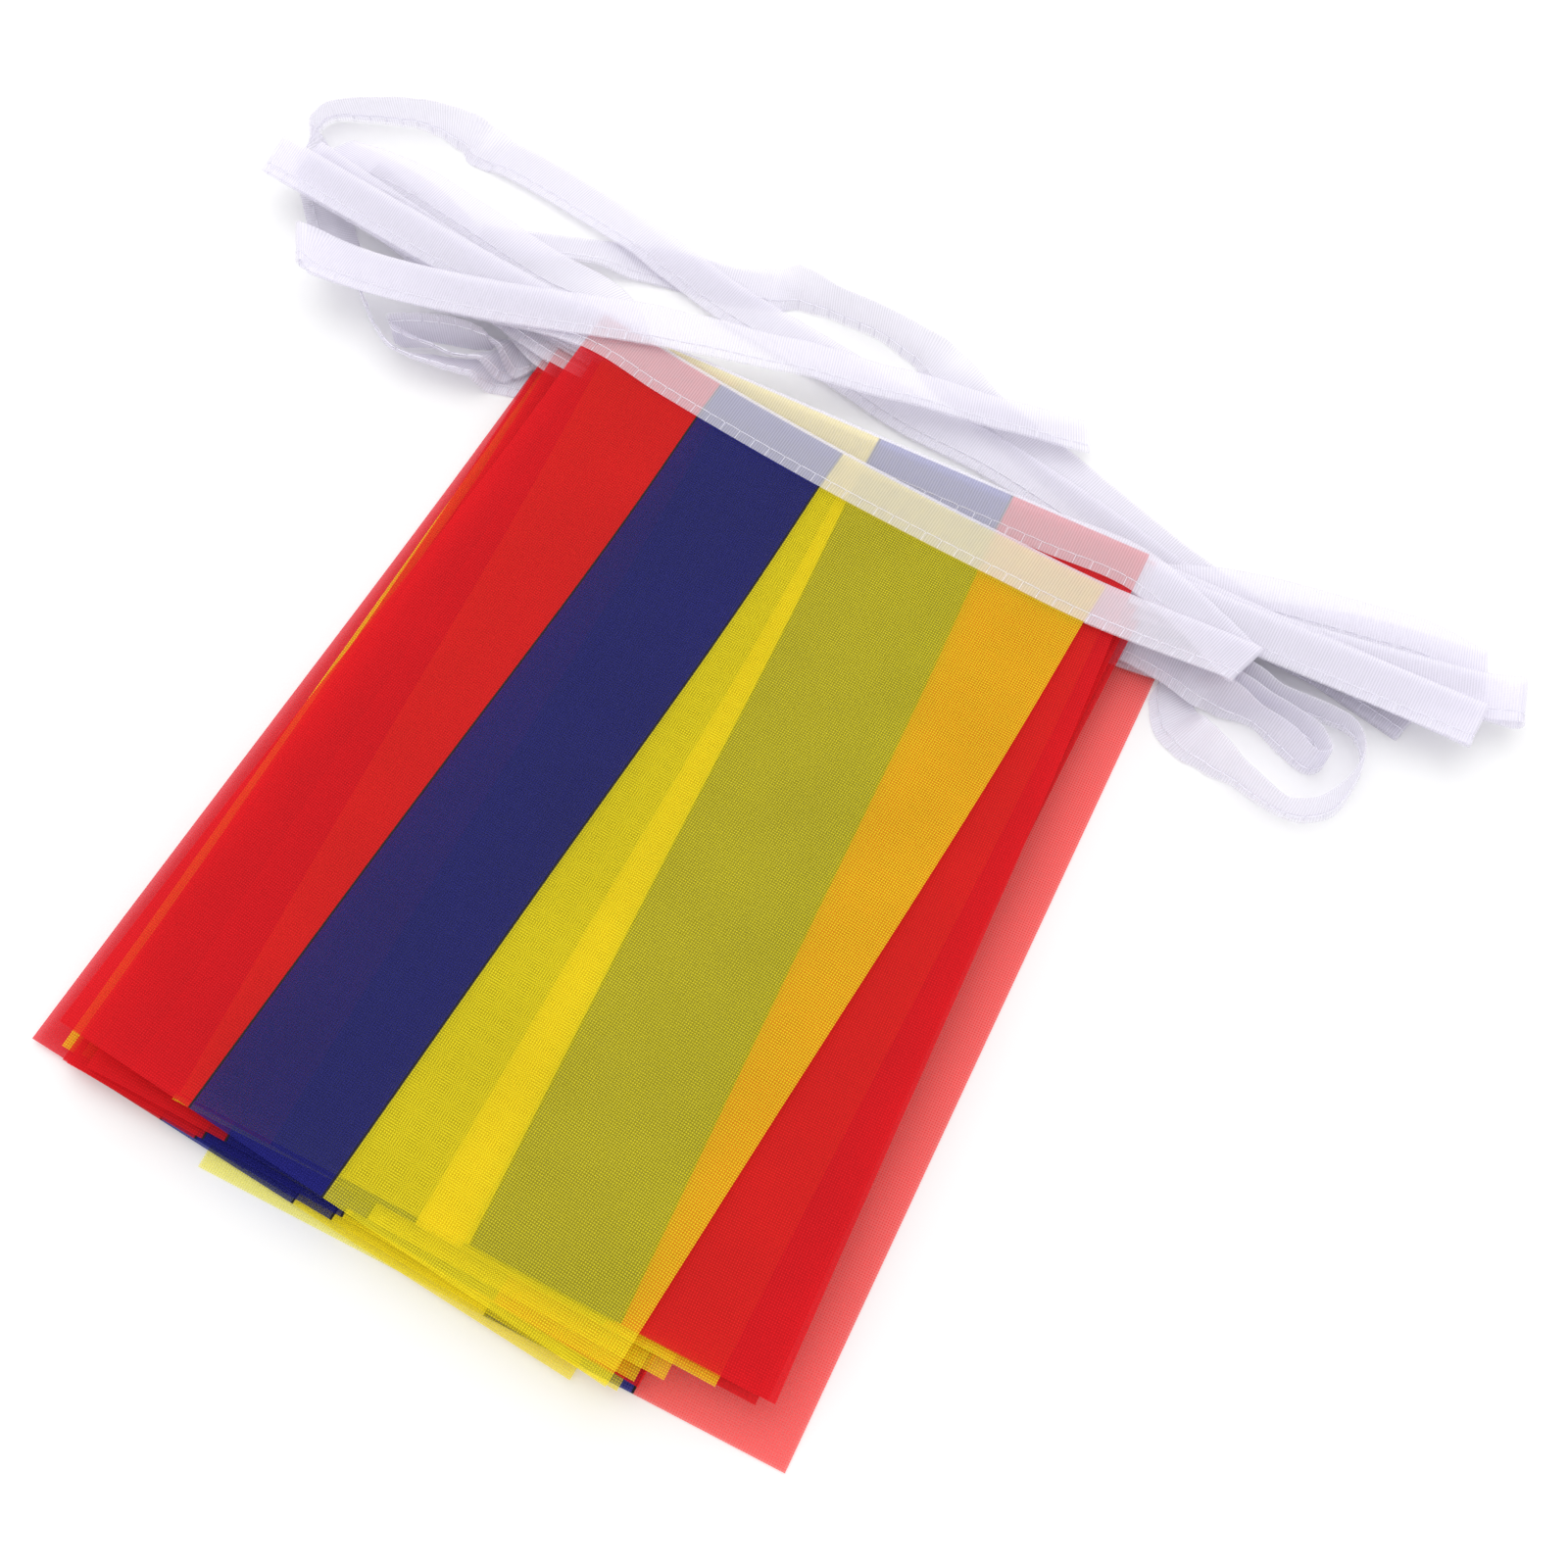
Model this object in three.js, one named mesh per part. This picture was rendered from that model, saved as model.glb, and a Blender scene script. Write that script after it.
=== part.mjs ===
// A folded string of flag bunting: twelve flags on one long white tape, laid flag on flag.
// Millimetres, +Z up. X runs along the tape, Y from the flags' free ends towards the tape.
// The origin is the middle of the underside of the lowest flag, which lies on the surface.

import * as THREE from 'three';

// Cloth: each sheet lies a small gap above the one below it.
const FLAG_WIDTH = 140;
const FLAG_LENGTH = 198; // below the tape; the sewn margin is inside the tape
const SHEET = 1;
const GAP = 0.3;
const LAYER = SHEET + GAP;
const SWELL = 2.2; // how much the top flag rises towards the middle of its length
const FLAG_CELLS = { across: 6, along: 10 };

// Tape: one strip, folded lengthwise over the flags' upper edges.
const TAPE_WIDTH = 11.5;
const TAPE_STEP = 7; // longest stretch of tape between two sections
const TAPE_TWIST = 22; // most degrees of twist between them
const FOLD_STEPS = 4; // sections round a quarter of a fold
const HEADING_LINE = FLAG_LENGTH / 2; // Y of the tape's lower edge on the lowest flag

const YELLOW = 0xf0d81e;
const WHITE = 0xf3f1fa;

// The flags from the top of the stack down. x and y place the middle of a flag's upper edge,
// y counted from the heading line; turn is in degrees; sag is how far that edge dips in its
// middle; swing carries the free end sideways; bow is how far the cloth strays on the way there.
const FLAGS = [
  { x: -19.7, y: 4.6, turn: -5.9, sag: 2.3, swing: 1.5, bow: 1.1 },
  { x: -13.2, y: 10.7, turn: -0.3, sag: 0.0, swing: 7.0, bow: 0.8 },
  { x: -15.8, y: 9.4, turn: -1.1, sag: 0.0, swing: 0.0, bow: 1.0 },
  { x: -10.7, y: 9.9, turn: 0.5, sag: 0.0, swing: 0.0, bow: -1.0 },
  { x: -26.1, y: 6.0, turn: -1.0, sag: 0.0, swing: 0.0, bow: 1.2 },
  { x: -8.9, y: 9.4, turn: -0.6, sag: 0.0, swing: 0.0, bow: -1.0 },
  { x: -29.2, y: 4.0, turn: -1.7, sag: 0.0, swing: 0.0, bow: 0.8 },
  { x: -22.8, y: 5.0, turn: -3.2, sag: 0.0, swing: 0.0, bow: -1.2 },
  { x: -26.8, y: 2.4, turn: -3.1, sag: 0.0, swing: 0.0, bow: 0.6 },
  { x: -29.2, y: 5.0, turn: -3.1, sag: 0.0, swing: 0.0, bow: 0.0 },
  { x: -31.8, y: 1.5, turn: -4.5, sag: 0.0, swing: 0.0, bow: 0.5 },
  { x: 0.0, y: 0.0, turn: 0.0, sag: 0.0, swing: 0.0, bow: 0.0 },
];

// Places along the tape's middle line. level is the layer of its lower edge, counted from 1 on
// the surface; turn is its direction in plan; lean tips its far edge up, or down if negative.
// The first tail comes over the stack from its cut end, then goes under itself to flag 1.
const FIRST_TAIL = [
  { x: 30.5, y: 50.5, level: 2, turn: 22, lean: -18 },
  { x: 10, y: 46.3, level: 3.4, turn: 15, lean: -17 },
  { x: -17, y: 40.3, level: 6.2, turn: 15, lean: -15 },
  { x: -43, y: 33.3, level: 10, turn: 16, lean: -12 },
  { x: -64.6, y: 26.9, level: 12.9, turn: 16, lean: -5 },
  { x: -78, y: 23.6, level: 13.6, turn: 14 },
  { x: -115, y: 13.5, level: 13, turn: 11 },
  { x: -142, y: 7.8, level: 13, turn: 5 },
];
const FIRST_LOBE = { x: -166.8, y: 7.2, turn: -3, skew: 34, puff: 1.2 };
const UNDER_TAIL = [
  { x: -150, y: 7.5, level: 12, turn: 5 },
  { x: -128, y: 11, level: 12, turn: 8 },
];

// The last tail leaves flag 12 to the left and stands up on its far edge. It passes under the
// left bunch, bends round on its near edge and runs to the right along the tapes, folds under
// the right bunch and comes back beneath itself.
const LAST_TAIL_OUT = [
  { x: -98, y: 5.7, level: 1 },
  { x: -109, y: 3.7, level: 1, turn: 4 },
  { x: -114.8, y: 1, level: 1, turn: 8, lean: -36 },
  { x: -119, y: -0.7, level: 1, turn: 12, lean: -43 },
  { x: -125, y: -2.1, level: 1, turn: 12, lean: -48 },
  { x: -133.2, y: -3.9, level: 1, turn: 6, lean: -62 },
  { x: -139.4, y: -2, level: 1, turn: -14, lean: -80 },
  { x: -145.4, y: 2.3, level: 1, turn: -32, lean: -90 },
  { x: -150.5, y: 6.6, level: 1, turn: -36, lean: -90 },
  { x: -158, y: 12.4, level: 1, turn: -38, lean: -62 },
  { x: -165, y: 18.2, level: 1, turn: -42, lean: -18 },
  { x: -171, y: 24, level: 1, turn: -46 },
  { x: -180, y: 34, level: 1, turn: -60 },
  { x: -184, y: 39, level: 1, turn: -76, lean: 12 },
  { x: -187.5, y: 43.8, level: 1, turn: -84, lean: 80 },
  { x: -187.5, y: 47.5, level: 1, turn: -92, lean: 77 },
  { x: -187.2, y: 50, level: 1, turn: -112, lean: 75 },
  { x: -185.6, y: 52.3, level: 1, turn: -139, lean: 74 },
  { x: -176.8, y: 56.7, level: 1, turn: -158, lean: 83 },
  { x: -168.5, y: 60, level: 1, turn: -166, lean: 90 },
  { x: -166, y: 60.8, level: 1, turn: 10, lean: 90 },
  { x: -160, y: 61.9, level: 1, turn: -6, lean: 80 },
  { x: -151.5, y: 62, level: 1, turn: -13, lean: 62 },
  { x: -146.5, y: 62, level: 1, turn: -11, lean: 18 },
  { x: -139, y: 62.2, level: 1.1, turn: -10, lean: -6 },
  { x: -128, y: 61, level: 1.1, turn: -9, lean: -8 },
  { x: -116, y: 58.9, level: 1.2, turn: -10, lean: -9 },
  { x: -106, y: 57, level: 1.5, turn: -10, lean: -9 },
  { x: -95, y: 54.4, level: 2.4, turn: -11, lean: -9 },
  { x: -84, y: 51.8, level: 2.5, turn: -11 },
  { x: -65, y: 47.3, level: 2.1, turn: -9 },
  { x: -32, y: 42.1, level: 2, turn: -12 },
  { x: -12, y: 38, level: 2, turn: -8 },
  { x: 12, y: 36, level: 2, turn: -7 },
  { x: 40, y: 30.5, level: 2, turn: -14 },
  { x: 67, y: 23.8, level: 2, turn: -12 },
  { x: 90, y: 20, level: 2, turn: -6 },
  { x: 108, y: 18.4, level: 2, turn: -6 },
];
const LAST_FOLD = { x: 127.5, y: 14.5, turn: -16 };
const LAST_TAIL_BACK = [
  { x: 105, y: 19.5, level: 1, turn: -14 },
  { x: 67, y: 28, level: 1, turn: -16 },
  { x: 31, y: 39.6, level: 1, turn: -18 },
  { x: 5, y: 48, level: 1, turn: -18 },
  { x: -8, y: 52.6, level: 1, turn: -18, lean: 20 },
  { x: -18, y: 54.6, level: 1, turn: -17, lean: 68 },
  { x: -29, y: 56.4, level: 1, turn: -6, lean: 78 },
  { x: -41, y: 56.6, level: 1, turn: 4, lean: 78 },
  { x: -50, y: 57.2, level: 1, turn: 9, lean: 60 },
  { x: -59, y: 56.4, level: 1, turn: 12, lean: 6 },
  { x: -68, y: 53.4, level: 1, turn: 12 },
  { x: -80, y: 51.6, level: 1, turn: 12 },
  { x: -93, y: 48.8, level: 1, turn: 15, lean: -5 },
  { x: -103.6, y: 45.7, level: 1, turn: 17, lean: -26 },
  { x: -110.7, y: 43.5, level: 1, turn: 18, lean: -26 },
  { x: -122.2, y: 39.5, level: 1, turn: 18, lean: -16 },
  { x: -134, y: 36, level: 1, turn: 16 },
];

// How the tape turns back below each flag but the last, to the right and to the left by turns.
// A fold is flat, with its two runs puffed apart at the end, and the runs may swerve before and
// after it; a loop stands on its edge.
const RETURNS = [
  { fold: { x: 87.7, y: 4.4, turn: -20 } },
  { fold: { x: -188, y: 29.3, turn: 3 } },
  { fold: { x: 140.5, y: 15, turn: -3 } },
  { fold: { x: -181, y: 33.6, turn: -5 } },
  { fold: { x: 148.6, y: 26.4, turn: 14, puff: 1.4 } },
  {
    before: [
      { x: -82, y: 21.6, level: 7, turn: -58 },
      { x: -87.6, y: 27.6, level: 7, turn: -50 },
      { x: -96, y: 31, level: 7, turn: -28 },
      { x: -109, y: 32, level: 7, turn: -12 },
      { x: -136, y: 37, level: 7, turn: -13 },
      { x: -156, y: 40.4, level: 7, turn: -11 },
    ],
    fold: { x: -178, y: 40.2, turn: -2, skew: -33 },
    after: [
      { x: -150, y: 37, level: 6, turn: -14 },
      { x: -125, y: 26, level: 6, turn: -24 },
    ],
  },
  {
    before: [
      { x: 52, y: 12.5, level: 6, turn: 28 },
      { x: 66, y: 20.5, level: 6, turn: 26 },
      { x: 82, y: 25.8, level: 6, turn: 10 },
      { x: 111, y: 30.6, level: 6, turn: 10 },
      { x: 123, y: 32.2, level: 6, turn: 6 },
    ],
    fold: { x: 138.5, y: 31, turn: 2, skew: 14 },
    after: [
      { x: 110, y: 27.5, level: 5, turn: 12 },
      { x: 80, y: 18.5, level: 5, turn: 18 },
    ],
  },
  {
    fold: { x: -168, y: 38, turn: -14, puff: 0.1 },
    after: [{ x: -109, y: 19.4, level: 4, turn: -20 }],
  },
  {
    loop: [
      { x: 71, y: 2.6, level: 4 },
      { x: 77.6, y: 1, level: 3.9, turn: -6, lean: 12 },
      { x: 85.4, y: -1.2, level: 1.6, turn: -12, lean: 62 },
      { x: 95, y: -2.4, level: 1, turn: -20, lean: 88 },
      { x: 103, y: -4.8, level: 1, turn: -25, lean: 78 },
      { x: 110, y: -7.4, level: 1, turn: -16, lean: 84 },
      { x: 112.8, y: -5.2, level: 1, turn: 70, lean: 88 },
      { x: 109.6, y: -1.4, level: 1, turn: 140, lean: 90 },
      { x: 108.6, y: -0.7, level: 1, turn: -36, lean: 90 },
      { x: 97, y: 1.4, level: 1, turn: -10, lean: 88 },
      { x: 87.5, y: 1.6, level: 1.2, turn: -6, lean: 64 },
      { x: 79.5, y: 3.6, level: 2.5, turn: -2, lean: 9 },
      { x: 71, y: 5, level: 3 },
    ],
  },
  {
    loop: [
      { x: -105.6, y: 8.7, level: 2.88, turn: 12 },
      { x: -111, y: 9.2, level: 2, turn: 12, lean: -50 },
      { x: -115.4, y: 8, level: 1, turn: 4, lean: -84 },
      { x: -119.4, y: 7.2, level: 1, turn: 2, lean: -92 },
      { x: -123.3, y: 6.4, level: 1, turn: 12, lean: -94 },
      { x: -129.3, y: 4.6, level: 1, turn: 26, lean: -92 },
      { x: -135.2, y: 2, level: 1, turn: 50, lean: -90 },
      { x: -137.4, y: 0.4, level: 1, turn: 120, lean: -90 },
      { x: -135.8, y: -0.7, level: 1, turn: 10, lean: -84 },
      { x: -126, y: 1, level: 1, turn: 12, lean: -64 },
      { x: -119.4, y: 1.6, level: 1, turn: 12, lean: -57 },
      { x: -113.6, y: 4.2, level: 1.7, turn: 10, lean: -48 },
      { x: -107.8, y: 7.2, level: 1.9, turn: 12 },
    ],
  },
  {
    loop: [
      { x: 70, y: 4, level: 2 },
      { x: 81.4, y: 6.4, level: 1.8, turn: 0, lean: 4 },
      { x: 89.6, y: 5.2, level: 1.1, turn: 0, lean: 66 },
      { x: 98, y: 4.8, level: 1, turn: 2, lean: 90 },
      { x: 108, y: 5.4, level: 1, turn: 0, lean: 94 },
      { x: 116, y: 4.6, level: 1, turn: -46, lean: 100 },
      { x: 120.2, y: -0.8, level: 1, turn: -80, lean: 100 },
      { x: 120.2, y: -7, level: 1, turn: -96, lean: 100 },
      { x: 118, y: -14.4, level: 1, turn: -118, lean: 106 },
      { x: 113.5, y: -18.8, level: 1, turn: -150, lean: 98 },
      { x: 108.4, y: -20.4, level: 1, turn: -176, lean: 90 },
      { x: 107, y: -20.4, level: 1, turn: -8, lean: 90 },
      { x: 97, y: -17.6, level: 1, turn: -10, lean: 82 },
      { x: 89, y: -15, level: 1, turn: -14, lean: 58 },
      { x: 83, y: -12.6, level: 1, turn: -26, lean: 30 },
      { x: 78, y: -9, level: 1, turn: -36 },
      { x: 74, y: -2.6, level: 1, turn: -32 },
    ],
  },
];

const radians = THREE.MathUtils.degToRad;
const heightOf = (level) => SHEET / 2 + (level - 1) * LAYER;

// A flag's pose: the middle of its upper edge, in its own layer.
function poseOf(flag, index) {
  return {
    origin: new THREE.Vector3(flag.x, flag.y + HEADING_LINE, heightOf(FLAGS.length - index)),
    turn: radians(flag.turn),
  };
}

function fromPose({ origin, turn }, x, y) {
  return new THREE.Vector3(x, y, 0).applyAxisAngle(new THREE.Vector3(0, 0, 1), turn).add(origin);
}

// A place of the flag, across from its middle and down from its upper edge. Places above that
// edge belong to the tape, which follows its dip.
function flagPlace(flag, index, across, down) {
  const reach = THREE.MathUtils.clamp(down / FLAG_LENGTH, 0, 1);
  const aside = flag.swing * reach + flag.bow * Math.sin(Math.PI * reach ** 0.6) ** 2;
  const dip = flag.sag * (1 - reach) * Math.cos((Math.PI * across) / FLAG_WIDTH);
  return fromPose(poseOf(flag, index), across + aside, -down - dip);
}

// A flag is a thin sheet that strays sideways and swells with the stack below it.
function flagGeometry(flag, index) {
  const sheet = new THREE.BoxGeometry(
    FLAG_WIDTH, FLAG_LENGTH, SHEET, FLAG_CELLS.across, FLAG_CELLS.along, 1,
  );
  sheet.translate(0, -FLAG_LENGTH / 2, 0);
  const points = sheet.attributes.position;
  const share = (FLAGS.length - 1 - index) / (FLAGS.length - 1);
  for (let i = 0; i < points.count; i += 1) {
    const place = flagPlace(flag, index, points.getX(i), -points.getY(i));
    place.z += points.getZ(i) + share * swellAt(place);
    points.setXYZ(i, place.x, place.y, place.z);
  }
  sheet.computeVertexNormals();
  return sheet;
}

// The stack's soft rise: none at the tape and at the free ends, most a little right of middle.
function swellAt({ x, y }) {
  const along = THREE.MathUtils.clamp((HEADING_LINE - 8 - y) / (FLAG_LENGTH - 16), 0, 1);
  const ridge = 0.7 + 0.3 * Math.cos((x - 10) / 28);
  return SWELL * Math.sin(Math.PI * along) ** 2 * ridge;
}

// The tape's run over a flag, from left to right, with a place at each of the flag's cells.
function headingPlaces(flag, index) {
  const places = [];
  for (let i = 0; i <= FLAG_CELLS.across; i += 1) {
    const across = FLAG_WIDTH * (i / FLAG_CELLS.across - 0.5);
    const foot = flagPlace(flag, index, across, -GAP - TAPE_WIDTH / 2);
    places.push({ foot, turn: poseOf(flag, index).turn, lean: 0, straight: true });
  }
  return places;
}

function station({ x, y, level, turn = 0, lean = 0 }) {
  const foot = new THREE.Vector3(x, y + HEADING_LINE, heightOf(level));
  return { foot, turn: radians(turn), lean: radians(lean) };
}

// A flat fold: the tape runs out in one layer, turns over and comes back in another. The crease
// itself may be skewed.
function foldStations({ x, y, turn, skew = 0, puff = 0 }, side, levelOut, levelBack) {
  const [out, back] = [heightOf(levelOut), heightOf(levelBack)];
  const radius = Math.abs(out - back) / 2;
  const middle = (out + back) / 2;
  const sign = Math.sign(out - back);
  const outward = new THREE.Vector3(side * Math.cos(radians(turn)), side * Math.sin(radians(turn)), 0);
  const base = new THREE.Vector3(x, y + HEADING_LINE, middle);
  const stations = [];
  const add = (reach, rise, aside = skew) => {
    const foot = base.clone().addScaledVector(outward, reach);
    foot.z += sign * rise;
    stations.push({ foot, turn: radians(turn + aside), lean: 0 });
  };
  const fat = radius + puff;
  if (puff) {
    add(-5 * fat, radius, 0);
  }
  for (let i = 0; i <= 2 * FOLD_STEPS; i += 1) {
    const angle = (Math.PI / 2) * (1 - i / FOLD_STEPS);
    add(fat * (Math.cos(angle) - 1), fat * Math.sin(angle));
  }
  if (puff) {
    add(-5 * fat, -radius, 0);
  }
  return stations;
}

// Every place that the tape passes, from the cut end of one tail to that of the other.
function tapeRoute() {
  const top = FLAGS.length;
  const route = [
    ...FIRST_TAIL.map(station),
    ...foldStations(FIRST_LOBE, -1, top + 1, top),
    ...UNDER_TAIL.map(station),
  ];
  FLAGS.forEach((flag, index) => {
    const goesRight = index % 2 === 0;
    const heading = headingPlaces(flag, index);
    route.push(...(goesRight ? heading : heading.reverse()));
    const { before = [], fold, after = [], loop = [] } = RETURNS[index] ?? {};
    route.push(...before.map(station));
    if (fold) {
      route.push(...foldStations(fold, goesRight ? 1 : -1, top - index, top - index - 1));
    }
    route.push(...after.map(station), ...loop.map(station));
  });
  route.push(
    ...LAST_TAIL_OUT.map(station),
    ...foldStations(LAST_FOLD, 1, 2, 1),
    ...LAST_TAIL_BACK.map(station),
  );
  return route;
}

// Sections of the tape: a smooth plan curve through the places, cut into short stretches, with
// height, turn and lean eased from one place to the next.
function tapeSections(route) {
  const plan = new THREE.CatmullRomCurve3(route.map((place) => place.foot), false, 'centripetal');
  const spans = route.length - 1;
  const sections = [];
  for (let i = 0; i <= spans; i += 1) {
    const [from, to] = [route[i], route[Math.min(i + 1, spans)]];
    const stretches = from.foot.distanceTo(to.foot) / TAPE_STEP;
    const twists = Math.abs(to.lean - from.lean) / radians(TAPE_TWIST);
    const steps = from.straight && to.straight ? 1 : Math.ceil(Math.max(stretches, twists, 1));
    for (let k = 0; k < (i < spans ? steps : 1); k += 1) {
      const share = k / steps;
      const eased = (a, b) => THREE.MathUtils.lerp(a, b, THREE.MathUtils.smoothstep(share, 0, 1));
      const lean = eased(from.lean, to.lean);
      const point = plan.getPoint((i + share) / spans);
      point.z = eased(from.foot.z, to.foot.z) + (TAPE_WIDTH / 2) * Math.abs(Math.sin(lean));
      sections.push({ point, turn: eased(from.turn, to.turn), lean });
    }
  }
  return sections;
}

// The tape is a long flat bar bent along its sections.
function tapeGeometry() {
  const sections = tapeSections(tapeRoute());
  const last = sections.length - 1;
  const frames = sections.map(({ point, turn, lean }, i) => {
    const before = sections[Math.max(i - 1, 0)].point;
    const after = sections[Math.min(i + 1, last)].point;
    const along = after.clone().sub(before).normalize();
    const across = new THREE.Vector3(
      -Math.sin(turn) * Math.cos(lean),
      Math.cos(turn) * Math.cos(lean),
      Math.sin(lean),
    );
    return { point, across, face: along.cross(across).normalize() };
  });
  const strip = new THREE.BoxGeometry(last, TAPE_WIDTH, SHEET, last, 1, 1);
  const points = strip.attributes.position;
  for (let i = 0; i < points.count; i += 1) {
    const { point, across, face } = frames[Math.round(points.getX(i) + last / 2)];
    const place = point.clone()
      .addScaledVector(across, points.getY(i))
      .addScaledVector(face, points.getZ(i));
    points.setXYZ(i, place.x, place.y, place.z);
  }
  strip.computeVertexNormals();
  return strip;
}

function pieceMesh(name, geometry, color, roughness) {
  const mesh = new THREE.Mesh(
    geometry,
    new THREE.MeshStandardMaterial({ color, roughness, metalness: 0 }),
  );
  mesh.name = name;
  return mesh;
}

const bunting = new THREE.Group();
FLAGS.forEach((flag, index) => {
  const name = `flag_${String(index + 1).padStart(2, '0')}`;
  bunting.add(pieceMesh(name, flagGeometry(flag, index), YELLOW, 0.75));
});
bunting.add(pieceMesh('tape', tapeGeometry(), WHITE, 0.7));

export default bunting;
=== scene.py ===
import math

import bpy
import numpy as np
from mathutils import Matrix, Vector


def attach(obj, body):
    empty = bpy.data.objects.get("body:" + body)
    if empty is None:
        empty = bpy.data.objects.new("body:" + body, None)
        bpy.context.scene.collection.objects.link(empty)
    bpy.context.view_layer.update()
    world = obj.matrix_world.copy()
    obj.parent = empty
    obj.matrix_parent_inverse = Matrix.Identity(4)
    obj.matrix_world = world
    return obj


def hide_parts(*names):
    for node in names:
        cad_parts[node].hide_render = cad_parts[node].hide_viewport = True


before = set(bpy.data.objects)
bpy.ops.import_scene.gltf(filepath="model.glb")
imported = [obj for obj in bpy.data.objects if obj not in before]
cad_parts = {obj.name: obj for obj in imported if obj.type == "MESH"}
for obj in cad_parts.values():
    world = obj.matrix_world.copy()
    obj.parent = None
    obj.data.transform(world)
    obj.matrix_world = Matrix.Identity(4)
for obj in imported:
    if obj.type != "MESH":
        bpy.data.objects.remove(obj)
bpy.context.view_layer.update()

# The camera looks down on the stack from the side of the flags' free ends, leaning a fifth of a
# right angle off straight down and rolled so that the flags run to the lower left.
LOOK_AT = Vector((0.0034, 0.0355, 0.0))
CAMERA_AWAY = 0.452
TILT = math.radians(21.36)
AZIMUTH = math.radians(26.14)
ROLL = math.radians(-26.28)
LENS = 45.0
SENSOR = 36.0

back = Vector((
    math.sin(AZIMUTH) * math.sin(TILT),
    -math.cos(AZIMUTH) * math.sin(TILT),
    math.cos(TILT),
))
right = Vector((math.sin(ROLL), math.cos(ROLL), 0.0)).cross(back).normalized()
up = back.cross(right)
camera = bpy.data.objects.new("camera", bpy.data.cameras.new("camera"))
camera.data.lens = LENS
camera.data.sensor_width = SENSOR
camera.data.clip_start = 0.01
camera.matrix_world = (
    Matrix.Translation(LOOK_AT + back * CAMERA_AWAY)
    @ Matrix((right, up, back)).transposed().to_4x4()
)
bpy.context.scene.collection.objects.link(camera)
bpy.context.scene.camera = camera

# Flags: rectangles of thin woven polyester, printed in three stripes along the long side and cut
# with plain edges. Each is sewn into the tape by a margin at one short end. They alternate on the
# string, so that every other flag of the folded stack lies with its other face up. Lengths are in
# millimetres until a mesh is made.
MM = 0.001
FLAG_WIDTH = 140
FLAG_LENGTH = 198
MARGIN = 11
HEADING_LINE = FLAG_LENGTH / 2
LAYER = 1.3
LOWEST_MIDDLE = 0.5
CELL = 4

# The flags from the top of the stack down. x and y place the middle of a flag's upper edge, y
# counted from the heading line; sag is how far that edge dips in its middle; swing carries the
# free end sideways; bow is how far the cloth strays on the way there.
FLAGS = (
    {"x": -19.7, "y": 4.6, "turn": -5.9, "sag": 2.3, "swing": 1.5, "bow": 1.1},
    {"x": -13.2, "y": 10.7, "turn": -0.3, "sag": 0, "swing": 7.0, "bow": 0.8},
    {"x": -15.8, "y": 9.4, "turn": -1.1, "sag": 0, "swing": 0, "bow": 1.0},
    {"x": -10.7, "y": 9.9, "turn": 0.5, "sag": 0, "swing": 0, "bow": -1.0},
    {"x": -26.1, "y": 6.0, "turn": -1.0, "sag": 0, "swing": 0, "bow": 1.2},
    {"x": -8.9, "y": 9.4, "turn": -0.6, "sag": 0, "swing": 0, "bow": -1.0},
    {"x": -29.2, "y": 4.0, "turn": -1.7, "sag": 0, "swing": 0, "bow": 0.8},
    {"x": -22.8, "y": 5.0, "turn": -3.2, "sag": 0, "swing": 0, "bow": -1.2},
    {"x": -26.8, "y": 2.4, "turn": -3.1, "sag": 0, "swing": 0, "bow": 0.6},
    {"x": -29.2, "y": 5.0, "turn": -3.1, "sag": 0, "swing": 0, "bow": 0.0},
    {"x": -31.8, "y": 1.5, "turn": -4.5, "sag": 0, "swing": 0, "bow": 0.5},
    {"x": 0.0, "y": 0.0, "turn": 0.0, "sag": 0, "swing": 0, "bow": 0.0},
)

# The stack rises softly towards its middle, and the cloth has slight waves below the tape.
SWELL = 2.2
SWELL_MARGIN = 8
RIDGE_X = 10
RIDGE_SPREAD = 28
SHARED_WAVES = (
    {"height": 0.16, "x": 19, "y": 61},
    {"height": 0.10, "x": -47, "y": 23},
)
OWN_WAVE = {"height": 0.07, "x": 13, "y": 31}
WAVES_FROM = 30


def layer_height(level):
    return LOWEST_MIDDLE + (level - 1) * LAYER


def stack_swell(x, y):
    """The soft rise of the stack, none at the tape and at the free ends."""
    swelling = FLAG_LENGTH - 2 * SWELL_MARGIN
    along = min(max((HEADING_LINE - SWELL_MARGIN - y) / swelling, 0), 1)
    ridge = 0.7 + 0.3 * math.cos((x - RIDGE_X) / RIDGE_SPREAD)
    return SWELL * math.sin(math.pi * along) ** 2 * ridge


def flag_ripple(x, y, index):
    """Slight waves that all the flags share, and a little of each flag's own."""
    shared = sum(
        wave["height"] * math.sin(x / wave["x"] + y / wave["y"]) for wave in SHARED_WAVES
    )
    wave_x = math.sin(x / OWN_WAVE["x"] + 2.1 * index)
    wave_y = math.sin(y / OWN_WAVE["y"] + 1.3 * index)
    return shared + OWN_WAVE["height"] * wave_x * wave_y


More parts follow.
